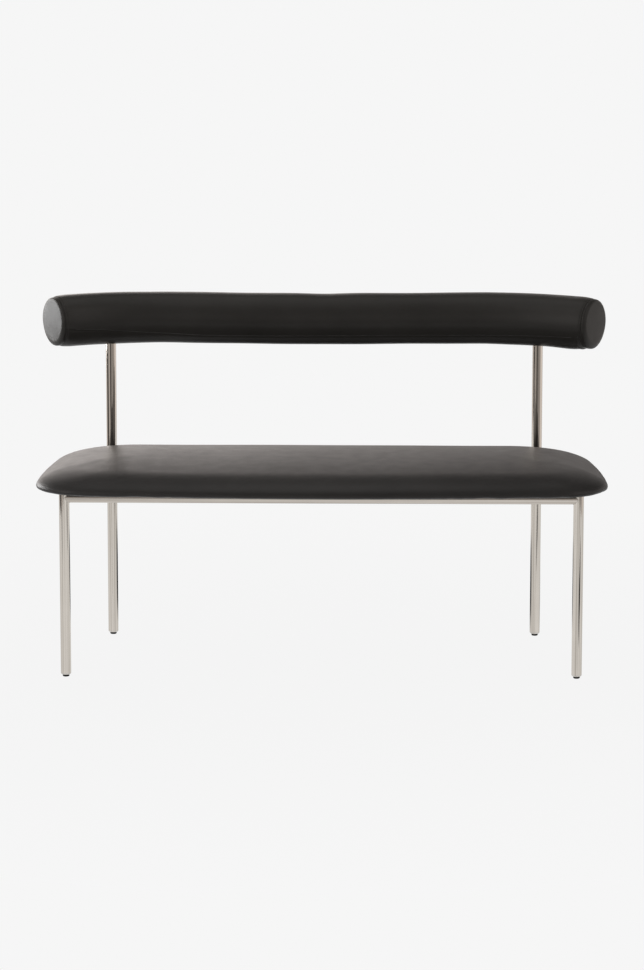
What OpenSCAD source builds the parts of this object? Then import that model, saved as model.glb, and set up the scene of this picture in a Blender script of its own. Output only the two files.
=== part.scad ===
// Two-seat bench: steel tube frame, upholstered seat and a bolster backrest on two posts.
// Millimetres, +Z up. X runs along the bench, -Y is the front that people sit down from.
// The origin is on the floor, under the middle of the bench's bounding box.

/* [Frame] */
// Distance between the axes of the front legs
front_leg_spacing = 1220; // [1000:5:1500]
// Distance between the axes of the rear posts
rear_leg_spacing = 1052; // [860:4:1200]
// Distance from the front legs' axes to the rear posts' axes
leg_depth = 455; // [400:5:520]
// Height of the top of the seat rails
rail_top = 448; // [400:2:480]
// Outside diameter of legs, posts and rails
tube_d = 25; // [22:1:30]
// Wall of that tube
tube_wall = 2; // [1.5:0.1:3]
// Distance from the rear posts' axes forward to the rear rail's axis
rear_rail_inset = 70; // [50:5:120]
// Gap left between pieces that are welded together
weld_gap = 0.2; // [0.1:0.05:0.3]

/* [Feet] */
// Height of the nylon foot under the leg's end plug
glide_h = 5; // [4:0.5:10]
// Diameter of the nylon foot at its top
glide_d = 16; // [14:0.5:18]
// Diameter of the face that the nylon foot stands on
glide_face_d = 12; // [8:0.5:13]
// Travel of the foot from fully screwed in to fully screwed out
glide_travel = 8; // [4:1:12]
// Diameter of the foot's threaded stud
stud_d = 8; // [6:1:10]
// Length of thread that stays in the plug when the foot is fully out
stud_grip = 14; // [10:1:20]
// Height of the end plug's head below the tube
plug_head_h = 5; // [3:0.5:8]
// Diameter of the end plug's lower face
plug_face_d = 18; // [17:0.5:20]

/* [Seat] */
// Seat edge beyond the front leg's axis, to the side
seat_side_overhang = 68.7; // [50:0.5:90]
// Seat edge beyond the rear post's axis, to the side
seat_rear_overhang = 100; // [70:1:110]
// Seat edge beyond the front legs' axes, forward, at the front corners
seat_front_overhang = 56; // [45:1:80]
// How much further forward the seat reaches at its middle
seat_front_bow = 45; // [0:1:60]
// How much the seat's sides bow out
seat_side_bow = 17.7; // [0:0.5:25]
// How much the seat's rear edge bows back
seat_rear_bow = 3; // [0:0.5:4]
// Gap between the seat's rear edge and the posts
seat_post_gap = 4; // [3:0.5:15]
// Radius of the seat's front corners in plan
front_corner_r = 89; // [60:1:110]
// Radius of the seat's rear corners in plan
rear_corner_r = 140; // [90:1:150]
// Height of the seat's widest line above its underside
edge_rise = 8.7; // [6:0.1:12]
// How far the underside draws in below the widest line
edge_tuck = 20.6; // [12:0.2:26]
// Width of the rounded shoulder above the widest line
shoulder_w = 78; // [50:1:95]
// Height of that shoulder
shoulder_h = 26.8; // [20:0.2:36]
// Height of the crown over the middle of the seat, above the shoulder
crown_h = 24; // [12:0.5:32]
// Thickness of the plywood board
board_t = 15; // [12:1:18]
// How far the board stays inside the seat's edge
board_inset = 28; // [27:1:34]
// How far the leather is pulled in under the board, from the seat's edge
cover_wrap = 45; // [40:1:55]
// Thickness of the leather
leather_t = 1.4; // [1:0.1:2]
// Thickness of the dust cloth under the board
cloth_t = 1; // [0.6:0.1:1.2]
// Distance between the staples that hold the cloth
staple_spacing = 90; // [60:5:120]

/* [Seat fixing] */
// Distance of the tabs on the front and rear rails from the middle of the bench
tab_x = 380; // [250:5:420]
// Length of a tab, away from its rail
tab_l = 30; // [24:1:36]
// Width of a tab, along its rail
tab_w = 40; // [24:1:60]
// Thickness of a tab
tab_t = 3; // [2:0.5:4]
// Thread diameter of the seat screws
screw_d = 6; // [5:1:8]
// Outside diameter of the threaded inserts in the board
insert_d = 10; // [9.5:0.5:12]
// Length of the threaded inserts
insert_l = 11; // [8:0.5:11.5]

/* [Backrest] */
// Diameter of the bolster
back_d = 125; // [110:1:140]
// Height of the bolster's axis above the floor
back_z = 796.5; // [720:0.5:860]
// How far before the posts the bolster starts to bend, along the bench
back_bend_lead = 177; // [140:1:220]
// Radius of the bends at its ends, on the axis
back_bend_r = 604; // [500:2:800]
// Angle that each end bends forward through
back_bend_angle = 30.8; // [22:0.2:36]
// How far the bolster sags at its middle
back_sag = 3.3; // [0:0.1:6]
// How much the leather draws in at the ring seams
end_draw = 3.2; // [0:0.1:6]
// How far the end panels stand out from the ring seams
end_bulge = 7.5; // [4:0.5:10]
// Radius of the rounded edge of the end panels
end_round = 12; // [5:0.5:16]
// Thickness of the boards behind the end panels
end_board_t = 9; // [8:0.5:14]
// Outside diameter of the core tube
core_d = 22; // [18:1:24]
// Wall of the core tube and of the sockets
core_wall = 2; // [1.5:0.1:2.5]
// How far the posts stop below the bolster's axis
post_stop = 14; // [13.5:0.5:20]
// Gap between a post and its socket, all round
socket_gap = 0.2; // [0.1:0.05:0.4]
// How far the set screws sit above the sockets' lower ends
set_screw_rise = 14; // [10:1:20]
// Length of the set screws
set_screw_l = 8; // [6:1:10]

/* [Hidden] */
$fn = 64;

// Colours, as the photo shows them
steel_colour = [0.76, 0.73, 0.69];
zinc_colour = [0.62, 0.63, 0.64];
leather_colour = [0.17, 0.165, 0.16];
nylon_colour = [0.06, 0.06, 0.06];
wood_colour = [0.78, 0.62, 0.42];
foam_colour = [0.93, 0.88, 0.68];
cloth_colour = [0.1, 0.1, 0.11];

// One overrun for every cut
over = 1;
// Clearance of parts that slide or screw into each other, all round
thread_gap = 0.1;
// Clearance round pieces that are pressed or laid into each other
fit_gap = 0.2;
// Gap between the rails and the seat above them
seat_gap = 0.3;

// Frame
tube_r = tube_d / 2;
rail_z = rail_top - tube_r;
front_x = front_leg_spacing / 2;
rear_x = rear_leg_spacing / 2;
back_r = back_d / 2;
back_straight_half = rear_x - back_bend_lead;
post_angle = asin(back_bend_lead / back_bend_r);
post_set_forward = back_bend_r * (1 - cos(post_angle));
front_reach = leg_depth / 2 + seat_front_overhang + seat_front_bow;
rear_reach = leg_depth / 2 + post_set_forward + back_r;
mid_y = (front_reach - rear_reach) / 2;
front_y = mid_y - leg_depth / 2;
rear_y = mid_y + leg_depth / 2;
rear_rail_y = rear_y - rear_rail_inset;
leg_places = [[-front_x, front_y], [front_x, front_y], [-rear_x, rear_y], [rear_x, rear_y]];
side_angle = atan2(leg_depth, rear_x - front_x);

// Feet
stud_r = stud_d / 2;
stud_seat_share = 0.3;
stud_seat = glide_h * stud_seat_share;
head_round_share = 0.8;
round_steps = 6;
stud_l = stud_grip + glide_travel + plug_head_h;
plug_bottom = glide_h + fit_gap;
tube_bottom = plug_bottom + plug_head_h;
plug_spigot_l = stud_grip + fit_gap;
plug_spigot_r = tube_r - tube_wall - fit_gap;
cap_t = tube_wall;
cap_spigot_l = 4 * tube_wall;

// Seat plan and profile
board_bottom = rail_top + seat_gap + max(leather_t, cloth_t);
board_top = board_bottom + board_t;
seat_bottom = board_bottom - leather_t;
edge_z = seat_bottom + edge_rise;
seat_front_half = front_x + seat_side_overhang;
seat_rear_half = rear_x + seat_rear_overhang;
seat_front_y = front_y - seat_front_overhang;
seat_rear_y = rear_y - tube_r - seat_post_gap;
seat_mid_y = (seat_front_y + seat_rear_y) / 2;
seat_half_w = max(seat_front_half, seat_rear_half);
seat_half_d = (seat_rear_y - seat_front_y) / 2;

// Steps of the seat form: points in a corner, and points between corners as shares of an edge
corner_steps = 5;
edge_shares = [0.25, 0.5, 0.75];
side_shares = [0.33, 0.67];
// Steps of its profile: the tucked lower edge, the shoulder and the crown
tuck_steps = 3;
shoulder_steps = 5;
crown_shares = [0.25, 0.5, 0.75, 0.92];

// Bolster path
bend_steps = 7;
straight_steps = 5;
back_sides = 20;
sleeve_flat_share = cos(180 / back_sides);
sag_into_bend = 50;
sag_reach = back_straight_half + sag_into_bend;
end_x = back_straight_half + back_bend_r * sin(back_bend_angle);
back_axis_y = rear_y + post_set_forward;
end_y = back_axis_y - back_bend_r * (1 - cos(back_bend_angle));
bend_length = back_bend_r * back_bend_angle * PI / 180;
draw_length = 24;
panel_r = back_r - end_draw;
dome_steps = 8;
core_r = core_d / 2;
core_stop = end_bulge - leather_t - end_board_t - fit_gap;
core_end_trim = -core_stop / back_bend_r * 180 / PI;
core_plug_l = 12;
core_screw_r = 2.5;
core_screw_l = 24;
socket_r = tube_r + socket_gap + core_wall;
socket_skin_gap = 3;
socket_bottom = back_z - back_r + leather_t + socket_skin_gap;
post_top = back_z - post_stop;
set_screw_z = socket_bottom + set_screw_rise;

// Screws
screw_r = screw_d / 2;
head_r_share = 0.875;
head_h_share = 0.55;
head_crown_share = 0.75;
hex_r_share = 0.38;
hex_depth_share = 0.35;
head_r = screw_d * head_r_share;
head_h = screw_d * head_h_share;
hex_r = screw_d * hex_r_share;
hex_depth = screw_d * hex_depth_share;
tab_start = sqrt(tube_r * tube_r - (tube_r - tab_t) * (tube_r - tab_t)) + weld_gap;
hole_gap = 0.3;
hole_r = screw_r + hole_gap;
staple_w = 10;
staple_wire = 0.6;
staple_leg = 6;

function reverse(v) = [for (i = [len(v) - 1:-1:0]) v[i]];

// Rounded corner of a polygon at p, between the neighbours a and b
function corner_arc(p, a, b, r) =
    let (da = (a - p) / norm(a - p), db = (b - p) / norm(b - p),
         half = acos(da * db) / 2,
         c = p + (da + db) / norm(da + db) * r / sin(half),
         s = p + da * r / tan(half) - c,
         turn = 180 - 2 * half,
         start = atan2(s[1], s[0]))
    [for (i = [0:corner_steps])
        let (angle = start + turn * i / corner_steps)
        c + r * [cos(angle), sin(angle)]];

// Right half of the seat's plan with straight edges, from the front middle to the rear middle
function plan_half() =
    let (front = [seat_front_half, seat_front_y], rear = [seat_rear_half, seat_rear_y],
         front_arc = corner_arc(front, [0, seat_front_y], rear, front_corner_r),
         rear_arc = corner_arc(rear, front, [0, seat_rear_y], rear_corner_r),
         a = front_arc[corner_steps], b = rear_arc[0])
    concat([[0, seat_front_y]],
           [for (s = edge_shares) [front_arc[0][0] * s, seat_front_y]],
           front_arc,
           [for (s = side_shares) a + (b - a) * s],
           rear_arc,
           [for (s = reverse(edge_shares)) [rear_arc[corner_steps][0] * s, seat_rear_y]],
           [[0, seat_rear_y]]);

// Bows the straight edges outwards
function bow(p) =
    let (t = (p[1] - seat_front_y) / (seat_rear_y - seat_front_y),
         middle = 1 - pow(p[0] / seat_half_w, 2),
         front = max(0, 1 - 2 * t), rear = max(0, 2 * t - 1))
    [p[0] + seat_side_bow * p[0] / seat_half_w * 4 * t * (1 - t),
     p[1] + middle * (seat_rear_bow * rear - seat_front_bow * front)];

half_plan = [for (p = plan_half()) bow(p)];
seat_plan = concat(half_plan, [for (i = [len(half_plan) - 2:-1:1]) [-half_plan[i][0], half_plan[i][1]]]);

// The seat's plan, drawn in by a distance
function plan_in(d) = [for (p = seat_plan)
    [p[0] * (1 - d / seat_half_w), seat_mid_y + (p[1] - seat_mid_y) * (1 - d / seat_half_d)]];

// Height of the crown at a distance in from the edge
function crown(d) = crown_h * (1 - pow(1 - min(d, seat_half_d) / seat_half_d, 2));

// The seat's section from its underside to its crown, as [distance in, height],
// at a skin's depth inside the leather's surface
function seat_section(skin) = concat(
    [for (i = [0:tuck_steps - 1]) let (a = 90 - 90 * i / tuck_steps)
        [edge_tuck * (1 - cos(a)) + skin * cos(a), edge_z - edge_rise * sin(a) + skin * sin(a)]],
    [for (i = [0:shoulder_steps]) let (a = 90 * i / shoulder_steps, d = shoulder_w * (1 - cos(a)))
        [d + skin * cos(a), edge_z + shoulder_h * sin(a) + crown(d) - skin * sin(a)]],
    [for (s = crown_shares) let (d = shoulder_w + (seat_half_d - shoulder_w) * s)
        [d, edge_z + shoulder_h + crown(d) - skin]]);

// A ring of the seat form in space
function seat_ring(s) = [for (p = plan_in(s[0])) [p[0], p[1], s[1]]];

// Triangles between neighbouring rings of n points. Where a skin lies on a form, its rings run the
// other way round, and turned bands give both the same triangles
function band(n, i, j, turned) = [for (k = [0:n - 1])
    let (m = (k + 1) % n, a = i * n + k, b = i * n + m, c = j * n + k, d = j * n + m)
    each (turned ? [[a, c, b], [b, c, d]] : [[a, d, b], [a, c, d]])];

// A solid of rings, closed at each end by a fan to a middle point, its first bands turned
module ring_solid(rings, start, end, turned = 0) {
    n = len(rings[0]);
    last = len(rings) - 1;
    points = concat([for (r = rings) each r], [start, end]);
    bands = [for (i = [0:last - 1]) each band(n, i, i + 1, i < turned)];
    first_fan = [for (k = [0:n - 1]) [k, (k + 1) % n, n * (last + 1)]];
    last_fan = [for (k = [0:n - 1]) [last * n + (k + 1) % n, last * n + k, n * (last + 1) + 1]];
    polyhedron(points, concat(bands, first_fan, last_fan));
}

// A solid of rings that runs out along one list and back along the other, and meets itself again
module ring_loop(out, back) {
    n = len(out[0]);
    count = len(out) + len(back);
    points = [for (r = concat(out, back)) each r];
    polyhedron(points, [for (i = [0:count - 1]) each band(n, i, (i + 1) % count, i >= len(out))]);
}

// A point on a closed outline at a distance along it, with the direction there
function along(outline, d, i = 0) =
    let (a = outline[i % len(outline)], b = outline[(i + 1) % len(outline)], l = norm(b - a))
    d <= l ? [a + (b - a) * d / l, atan2(b[1] - a[1], b[0] - a[0])] : along(outline, d - l, i + 1);
function outline_length(outline) = let (n = len(outline))
    [for (i = 0, s = 0; i <= n; s = s + norm(outline[(i + 1) % n] - outline[i % n]), i = i + 1) s][n];

// A point of the bolster's axis at a distance from its middle, with the direction there
function path_point(s) =
    let (m = abs(s) - back_straight_half, side = sign(s),
         a = m > 0 ? m / back_bend_r * 180 / PI : 0,
         x = back_straight_half + back_bend_r * sin(a),
         y = back_axis_y - back_bend_r * (1 - cos(a)))
    m > 0 ? [side * x, y, side * a] : [s, back_axis_y, 0];
function sag_at(s) = abs(s) < sag_reach ? back_sag * (1 - pow(s / sag_reach, 2)) : 0;
function back_ring(s, r, drop) =
    let (p = path_point(s), t = p[2])
    [for (k = [0:back_sides - 1]) let (a = 360 * k / back_sides)
        [p[0] + r * cos(a) * sin(t), p[1] + r * cos(a) * cos(t), back_z - drop + r * sin(a)]];
// A ring of the bolster's skin, a depth below its surface
function skin_ring(s, depth) = back_ring(s, radius_at(s) - depth, sag_at(s));
function radius_at(s) =
    let (left = back_straight_half + bend_length - abs(s))
    back_r - end_draw * pow(max(0, 1 - left / draw_length), 2);
// Distances of the bolster's rings along its axis, the last ones given by how far they are from the seam
function half_stations(ends) = concat(
    [for (i = [0:straight_steps]) back_straight_half * i / straight_steps],
    [for (i = [1:bend_steps - 1]) back_straight_half + bend_length * i / bend_steps],
    [for (d = ends) back_straight_half + bend_length - d]);
function stations(ends) = let (right = half_stations(ends))
    concat([for (i = [len(right) - 1:-1:1]) -right[i]], right);

module tube(h, r, wall) {
    difference() {
        cylinder(h = h, r = r);
        translate([0, 0, -over]) cylinder(h = h + 2 * over, r = r - wall);
    }
}

// Two-point bar along the floor plan, at the rails' height
module rail_between(a, b, r) {
    translate([a[0], a[1], rail_z])
        rotate([0, 90, atan2(b[1] - a[1], b[0] - a[0])])
            cylinder(h = norm(b - a), r = r);
}

module rail_tube(a, b) {
    difference() {
        rail_between(a, b, tube_r);
        rail_between(a - (b - a), b + (b - a), tube_r - tube_wall);
    }
}

module leg_space(p) {
    translate([p[0], p[1], rail_z - 2 * tube_d]) cylinder(h = 4 * tube_d, r = tube_r + weld_gap);
}

module front_leg(p) {
    color(steel_colour) translate([p[0], p[1], tube_bottom])
        tube(rail_top - cap_t - tube_bottom, tube_r, tube_wall);
}

module rear_post(p) {
    color(steel_colour) translate([p[0], p[1], tube_bottom])
        tube(post_top - tube_bottom, tube_r, tube_wall);
}

module front_rail() {
    color(steel_colour) difference() {
        rail_tube(leg_places[0], leg_places[1]);
        leg_space(leg_places[0]);
        leg_space(leg_places[1]);
    }
}

module side_rail(front, rear) {
    color(steel_colour) difference() {
        rail_tube(front, rear);
        leg_space(front);
        leg_space(rear);
        rail_between(leg_places[0], leg_places[1], tube_r + weld_gap);
    }
}

// Half the rear rail's length, where its axis meets the side rails' axes
rear_rail_half = rear_x + (front_x - rear_x) * rear_rail_inset / leg_depth;

module rear_rail() {
    color(steel_colour) difference() {
        rail_tube([-rear_rail_half, rear_rail_y], [rear_rail_half, rear_rail_y]);
        rail_between(leg_places[0], leg_places[2], tube_r + weld_gap);
        rail_between(leg_places[1], leg_places[3], tube_r + weld_gap);
    }
}

module centre_rail() {
    color(steel_colour) difference() {
        rail_tube([0, front_y], [0, rear_rail_y]);
        rail_between(leg_places[0], leg_places[1], tube_r + weld_gap);
        rail_between([-rear_rail_half, rear_rail_y], [rear_rail_half, rear_rail_y], tube_r + weld_gap);
    }
}

module at_front_legs() {
    for (i = [0, 1]) translate([leg_places[i][0], leg_places[i][1], 0]) children();
}

module leg_top_caps() {
    color(steel_colour) at_front_legs() {
        translate([0, 0, rail_top - cap_t]) cylinder(h = cap_t, r = tube_r);
        translate([0, 0, rail_top - cap_t - cap_spigot_l]) cylinder(h = cap_spigot_l, r = plug_spigot_r);
    }
}

// Points of a quarter round that starts level at [x, 0] and ends upright, w further out and h higher
function quarter_round(x, w, h) =
    [for (i = [0:round_steps])
        let (a = 90 * i / round_steps)
        [x + w * sin(a), h * (1 - cos(a))]];

module leg_end_plug() {
    face_r = plug_face_d / 2;
    side = quarter_round(face_r, tube_r - face_r, plug_head_h * head_round_share);
    difference() {
        union() {
            rotate_extrude() polygon(concat([[0, 0]], side, [[tube_r, plug_head_h], [0, plug_head_h]]));
            translate([0, 0, plug_head_h]) cylinder(h = plug_spigot_l, r = plug_spigot_r);
        }
        translate([0, 0, -over])
            cylinder(h = plug_head_h + plug_spigot_l + 2 * over, r = stud_r + thread_gap);
    }
}

module leg_end_plugs() {
    color(steel_colour) for (p = leg_places) translate([p[0], p[1], plug_bottom]) leg_end_plug();
}

module glide_pad(p) {
    face_r = glide_face_d / 2;
    rim = glide_d / 2 - face_r;
    side = quarter_round(face_r, rim, rim);
    color(nylon_colour) translate([p[0], p[1], 0]) difference() {
        rotate_extrude() polygon(concat([[0, 0]], side, [[glide_d / 2, glide_h], [0, glide_h]]));
        translate([0, 0, stud_seat]) cylinder(h = glide_h, r = stud_r + thread_gap / 2);
    }
}

module glide_stud(p) {
    color(zinc_colour) translate([p[0], p[1], stud_seat])
        cylinder(h = glide_h - stud_seat + stud_l, r = stud_r);
}

// Places of the seat's fixings: a point on a rail's axis and the direction that the tab points in
tab_places = [
    [-tab_x, front_y, 90], [tab_x, front_y, 90], [-tab_x, rear_rail_y, -90], [tab_x, rear_rail_y, -90],
    [-(front_x + rear_x) / 2, mid_y, 90 - side_angle], [(front_x + rear_x) / 2, mid_y, 90 + side_angle]
];

module at_tabs() {
    for (t = tab_places) translate([t[0], t[1], 0]) rotate([0, 0, t[2]]) children();
}

module at_tab_holes() {
    at_tabs() translate([tab_start + tab_l / 2, 0, 0]) children();
}

module seat_mount_plates() {
    color(zinc_colour) at_tabs() difference() {
        translate([tab_start, -tab_w / 2, rail_top - tab_t]) cube([tab_l, tab_w, tab_t]);
        translate([tab_start + tab_l / 2, 0, rail_top - tab_t - over])
            cylinder(h = tab_t + 2 * over, r = hole_r);
    }
}

module seat_screws() {
    tab_under = rail_top - tab_t;
    color(zinc_colour) at_tab_holes() difference() {
        union() {
            translate([0, 0, tab_under - head_h])
                cylinder(h = head_h, r1 = head_r * head_crown_share, r2 = head_r);
            translate([0, 0, tab_under]) cylinder(h = board_bottom + insert_l - tab_under, r = screw_r);
        }
        translate([0, 0, tab_under - head_h - over]) cylinder(h = hex_depth + over, r = hex_r, $fn = 6);
    }
}

module seat_insert_nuts() {
    color(zinc_colour) at_tab_holes() translate([0, 0, board_bottom])
        tube(insert_l, insert_d / 2, insert_d / 2 - screw_r - thread_gap);
}

module seat_board() {
    color(wood_colour) difference() {
        translate([0, 0, board_bottom]) linear_extrude(height = board_t) polygon(plan_in(board_inset));
        at_tab_holes() translate([0, 0, board_bottom - over])
            cylinder(h = insert_l + over + fit_gap, r = insert_d / 2);
    }
}

module seat_foam() {
    pocket = board_inset - fit_gap;
    section = concat([[pocket, board_top], [pocket, board_bottom]], seat_section(leather_t));
    rings = [for (s = section) seat_ring(s)];
    top = edge_z + shoulder_h + crown_h - leather_t;
    color(foam_colour) ring_solid(rings, [0, seat_mid_y, board_top], [0, seat_mid_y, top]);
}

module seat_cover() {
    outer = concat([[cover_wrap, seat_bottom]], seat_section(0));
    inner = concat([[cover_wrap, board_bottom]], seat_section(leather_t));
    rings = [for (s = concat(reverse(inner), outer)) seat_ring(s)];
    top = edge_z + shoulder_h + crown_h;
    color(leather_colour)
        ring_solid(rings, [0, seat_mid_y, top - leather_t], [0, seat_mid_y, top], len(inner) - 1);
}

module seat_underside_cloth() {
    color(cloth_colour) difference() {
        translate([0, 0, board_bottom - cloth_t]) linear_extrude(height = cloth_t)
            polygon(plan_in(cover_wrap + fit_gap));
        at_tab_holes() translate([0, 0, board_bottom - cloth_t - over])
            cylinder(h = cloth_t + 2 * over, r = hole_r);
    }
}

// A staple with its crown under the cloth and its two legs pointing up
module staple() {
    band = 2 * staple_wire;
    translate([-staple_w / 2, -staple_wire, -cloth_t - staple_wire]) {
        cube([staple_w, band, staple_wire]);
        for (x = [0, staple_w - staple_wire]) translate([x, 0, 0]) cube([staple_wire, band, staple_leg]);
    }
}

module seat_staples() {
    line = plan_in(cover_wrap + staple_w / 2);
    count = floor(outline_length(line) / staple_spacing);
    step = outline_length(line) / count;
    color(zinc_colour) for (i = [0:count - 1]) {
        place = along(line, step * (i + 0.5));
        translate([place[0][0], place[0][1], board_bottom]) rotate([0, 0, place[1]]) staple();
    }
}

// Round bar along the straight part of the bolster's axis
module straight_bar(r) {
    translate([-back_straight_half, back_axis_y, back_z]) rotate([0, 90, 0])
        cylinder(h = 2 * back_straight_half, r = r);
}

// Round bar along one bend of the axis, its outer end trimmed by an angle
module bend_bar(side, r, trim) {
    mirror([side < 0 ? 1 : 0, 0, 0]) translate([back_straight_half, back_axis_y - back_bend_r, back_z])
        rotate([0, 0, 90 - back_bend_angle + trim])
            rotate_extrude(angle = back_bend_angle - trim) translate([back_bend_r, 0]) circle(r = r);
}

// Short bar inside the core tube's wall, where a bend starts
module bend_start(side) {
    l = 3 * core_wall;
    translate([side * back_straight_half - l / 2, back_axis_y, back_z]) rotate([0, 90, 0])
        cylinder(h = l, r = core_r - core_wall / 4);
}

module back_core_tube() {
    bore = core_r - core_wall;
    color(zinc_colour) difference() {
        union() {
            straight_bar(core_r);
            for (side = [-1, 1]) {
                bend_bar(side, core_r, core_end_trim);
                bend_start(side);
            }
        }
        straight_bar(bore);
        bend_bar(-1, bore, 0);
        bend_bar(1, bore, 0);
    }
}

module at_posts() {
    for (i = [2, 3]) translate([leg_places[i][0], leg_places[i][1], 0]) children();
}

module back_sockets() {
    color(zinc_colour) difference() {
        at_posts() translate([0, 0, socket_bottom]) tube(back_z - socket_bottom, socket_r, core_wall);
        bend_bar(-1, core_r + weld_gap, 0);
        bend_bar(1, core_r + weld_gap, 0);
        set_screw_space(2 * socket_r, screw_r + thread_gap);
    }
}

// Space behind a post where the set screw and its key go
module set_screw_space(l, r) {
    at_posts() translate([0, 0, set_screw_z]) rotate([-90, 0, 0]) cylinder(h = l, r = r);
}

module socket_set_screws() {
    color(zinc_colour) at_posts() translate([0, tube_r + thread_gap, set_screw_z]) rotate([-90, 0, 0])
        difference() {
            cylinder(h = set_screw_l, r = screw_r);
            translate([0, 0, set_screw_l - hex_depth]) cylinder(h = hex_depth + over, r = hex_r, $fn = 6);
        }
}

// Frame of an end of the bolster: the end's middle at the origin, +Z pointing out of the end
module at_end(side) {
    mirror([side < 0 ? 1 : 0, 0, 0]) translate([end_x, end_y, back_z])
        rotate([0, 90, -back_bend_angle]) children();
}

module core_end_plugs() {
    plug_r = core_r - core_wall - 2 * fit_gap;
    color(zinc_colour) for (side = [-1, 1]) at_end(side) translate([0, 0, core_stop - core_plug_l])
        tube(core_plug_l, plug_r, plug_r - core_screw_r - thread_gap);
}

module end_board_screws() {
    head_top = core_stop + end_board_t;
    color(zinc_colour) for (side = [-1, 1]) at_end(side) {
        translate([0, 0, head_top - core_screw_l])
            cylinder(h = core_screw_l - core_screw_r, r = core_screw_r);
        translate([0, 0, head_top - core_screw_r])
            cylinder(h = core_screw_r, r1 = core_screw_r, r2 = 2 * core_screw_r);
    }
}

// Outline of an end panel: a flat face at a height, with a rounded edge down to its full radius at 0
function panel_face(r, edge, height) = concat(
    [for (i = [0:dome_steps]) let (a = 90 * i / dome_steps) [r - edge + edge * cos(a), height * sin(a)]],
    [[0, height]]);

module back_end_board(side) {
    board_r = (panel_r - leather_t) * sleeve_flat_share - fit_gap;
    board_low = core_stop + fit_gap;
    sink_h = core_screw_r + 2 * fit_gap;
    face = panel_face(board_r, end_round - leather_t, end_bulge - leather_t);
    color(wood_colour) at_end(side) difference() {
        rotate_extrude() polygon(concat([[0, board_low], [board_r, board_low]], face));
        translate([0, 0, core_stop]) cylinder(h = end_board_t + over, r = core_screw_r + fit_gap);
        translate([0, 0, end_bulge - leather_t - sink_h])
            cylinder(h = sink_h, r1 = core_screw_r + fit_gap, r2 = 2 * (core_screw_r + fit_gap));
    }
}

module back_end_cover(side) {
    inner_r = panel_r - leather_t;
    inner = panel_face(inner_r, end_round - leather_t, end_bulge - leather_t);
    color(leather_colour) at_end(side) difference() {
        rotate_extrude() polygon(concat([[0, 0]], panel_face(panel_r, end_round, end_bulge)));
        rotate_extrude() polygon(concat([[0, -over], [inner_r, -over]], inner));
    }
}

// Radius of the foam's bore, whose flat sides clear the round core in the bends too
foam_bore_r = (core_r + 3 * fit_gap) / sleeve_flat_share;
// Where the foam stops before the seam, so that its end clears the end board all round
foam_end_gap = -core_stop * (1 + back_r / back_bend_r);

module back_foam() {
    places = stations([draw_length, draw_length / 2, foam_end_gap]);
    outer = [for (s = places) skin_ring(s, leather_t)];
    bore = [for (s = reverse(places)) back_ring(s, foam_bore_r, 0)];
    color(foam_colour) difference() {
        ring_loop(outer, bore);
        at_posts() translate([0, 0, back_z - back_d]) cylinder(h = back_d, r = socket_r + fit_gap);
        set_screw_space(back_d, screw_r + fit_gap);
    }
}

module back_cover() {
    places = stations([draw_length, draw_length / 2, foam_end_gap, 0]);
    outer = [for (s = places) skin_ring(s, 0)];
    inner = [for (s = reverse(places)) skin_ring(s, leather_t)];
    color(leather_colour) difference() {
        ring_loop(outer, inner);
        at_posts() translate([0, 0, back_z - back_d]) cylinder(h = back_d, r = tube_r + socket_gap);
    }
}

front_leg(leg_places[0]);  // front_leg_left
front_leg(leg_places[1]);  // front_leg_right
rear_post(leg_places[2]);  // rear_post_left
rear_post(leg_places[3]);  // rear_post_right
front_rail();
rear_rail();
side_rail(leg_places[0], leg_places[2]);  // side_rail_left
side_rail(leg_places[1], leg_places[3]);  // side_rail_right
centre_rail();
leg_top_caps();
leg_end_plugs();
glide_pad(leg_places[0]);  // glide_pad_front_left
glide_pad(leg_places[1]);  // glide_pad_front_right
glide_pad(leg_places[2]);  // glide_pad_rear_left
glide_pad(leg_places[3]);  // glide_pad_rear_right
glide_stud(leg_places[0]);  // glide_stud_front_left
glide_stud(leg_places[1]);  // glide_stud_front_right
glide_stud(leg_places[2]);  // glide_stud_rear_left
glide_stud(leg_places[3]);  // glide_stud_rear_right
seat_mount_plates();
seat_screws();
seat_insert_nuts();
seat_board();
seat_foam();
seat_cover();
seat_underside_cloth();
seat_staples();
back_core_tube();
back_sockets();
socket_set_screws();
core_end_plugs();
back_end_board(-1);  // back_end_board_left
back_end_board(1);  // back_end_board_right
end_board_screws();
back_foam();
back_cover();
back_end_cover(-1);  // back_end_cover_left
back_end_cover(1);  // back_end_cover_right
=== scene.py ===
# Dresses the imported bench: leather cushions, steel, feet, stitching, camera and light
import math

import bmesh
import bpy
import numpy as np
from mathutils import Matrix, Vector
from mathutils.bvhtree import BVHTree


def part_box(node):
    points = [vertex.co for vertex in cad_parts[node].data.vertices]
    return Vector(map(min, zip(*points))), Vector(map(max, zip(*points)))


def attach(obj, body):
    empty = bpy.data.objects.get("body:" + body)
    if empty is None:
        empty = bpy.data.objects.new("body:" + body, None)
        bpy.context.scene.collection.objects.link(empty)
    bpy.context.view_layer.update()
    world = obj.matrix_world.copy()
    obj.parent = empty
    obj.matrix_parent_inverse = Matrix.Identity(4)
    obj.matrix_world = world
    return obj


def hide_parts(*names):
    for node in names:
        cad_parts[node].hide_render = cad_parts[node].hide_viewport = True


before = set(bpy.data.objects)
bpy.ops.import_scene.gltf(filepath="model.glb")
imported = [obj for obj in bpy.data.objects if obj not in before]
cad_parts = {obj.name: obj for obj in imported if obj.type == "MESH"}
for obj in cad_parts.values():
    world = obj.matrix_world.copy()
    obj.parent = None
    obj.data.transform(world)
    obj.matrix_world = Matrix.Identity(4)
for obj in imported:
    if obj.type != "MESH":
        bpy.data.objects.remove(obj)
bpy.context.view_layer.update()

MM = 0.001
scene = bpy.context.scene


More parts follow.
